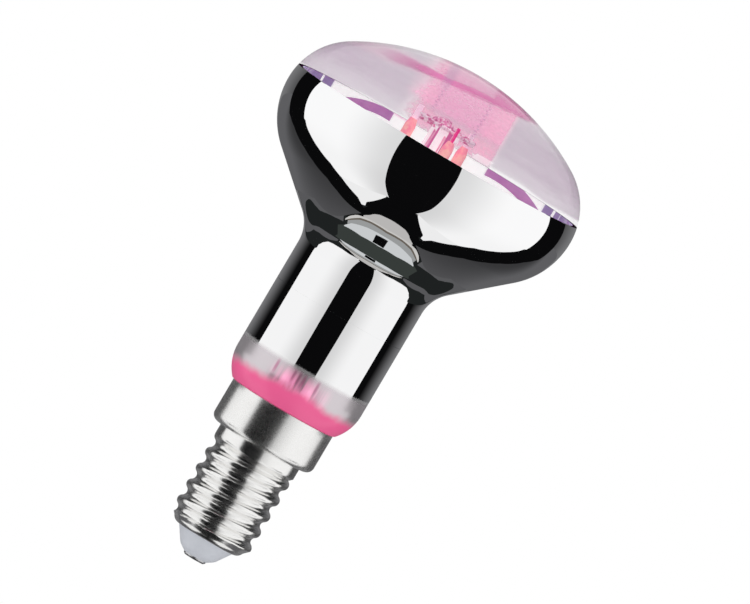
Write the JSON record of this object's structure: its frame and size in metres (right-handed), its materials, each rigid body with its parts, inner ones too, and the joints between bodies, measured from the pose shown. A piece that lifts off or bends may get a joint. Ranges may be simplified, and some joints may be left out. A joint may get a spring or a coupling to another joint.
{
  "type": "reflector bulb",
  "caption": "Reflector bulb with a clear domed front, a mirrored bell and neck, three upright filaments round a glass column and a small screw cap.",
  "frame": {"origin": "underside of the centre contact, on the lamp's axis", "axes": "+Z along the lamp's axis, from the centre contact to the crown of the dome; +X to the right and +Y away from the viewer in the picture's own view"},
  "size_m": [0.05, 0.05, 0.0859],
  "materials": {
    "clear_glass": "clear blown soda-lime glass, smooth, with a faint lilac tint from the light inside",
    "mirror": "vapour-deposited aluminium on the inside of the glass",
    "nickel_brass": "nickel-plated drawn brass, satin",
    "white_insulator": "white moulded insulator, semi-matt",
    "cement": "dull basing cement",
    "filament_coat": "phosphor-filled silicone, salmon pink",
    "filament_strip": "plated strip, satin",
    "nickel_wire": "drawn nickel wire",
    "circuit_board": "green glass-fibre board",
    "black_moulding": "black moulded component",
    "capacitor_sleeve": "dark shrink sleeve",
    "resistor_body": "pale blue coated resistor with tinned leads",
    "copper_wire": "bare copper wire"
  },
  "bodies": {
    "root": {"glass_envelope": "clear_glass", "mirror_coating": "mirror", "glass_stem": "clear_glass", "filament_coat_1": "filament_coat", "filament_coat_2": "filament_coat", "filament_coat_3": "filament_coat", "filament_strip_1": "filament_strip", "filament_strip_2": "filament_strip", "filament_strip_3": "filament_strip", "lower_bridge": "nickel_wire", "top_bridge": "nickel_wire", "support_wire_1": "nickel_wire", "support_wire_2": "nickel_wire", "lead_wire_1": "nickel_wire", "lead_wire_2": "nickel_wire", "screw_cap": "nickel_brass", "basing_cement": "cement", "cap_insulator": "white_insulator", "centre_contact": "nickel_brass", "driver_board": "circuit_board", "smoothing_capacitor": "capacitor_sleeve", "bridge_rectifier": "black_moulding", "driver_chip": "black_moulding", "fuse_resistor": "resistor_body", "neutral_wire": "copper_wire"}
  },
  "joints": []
}
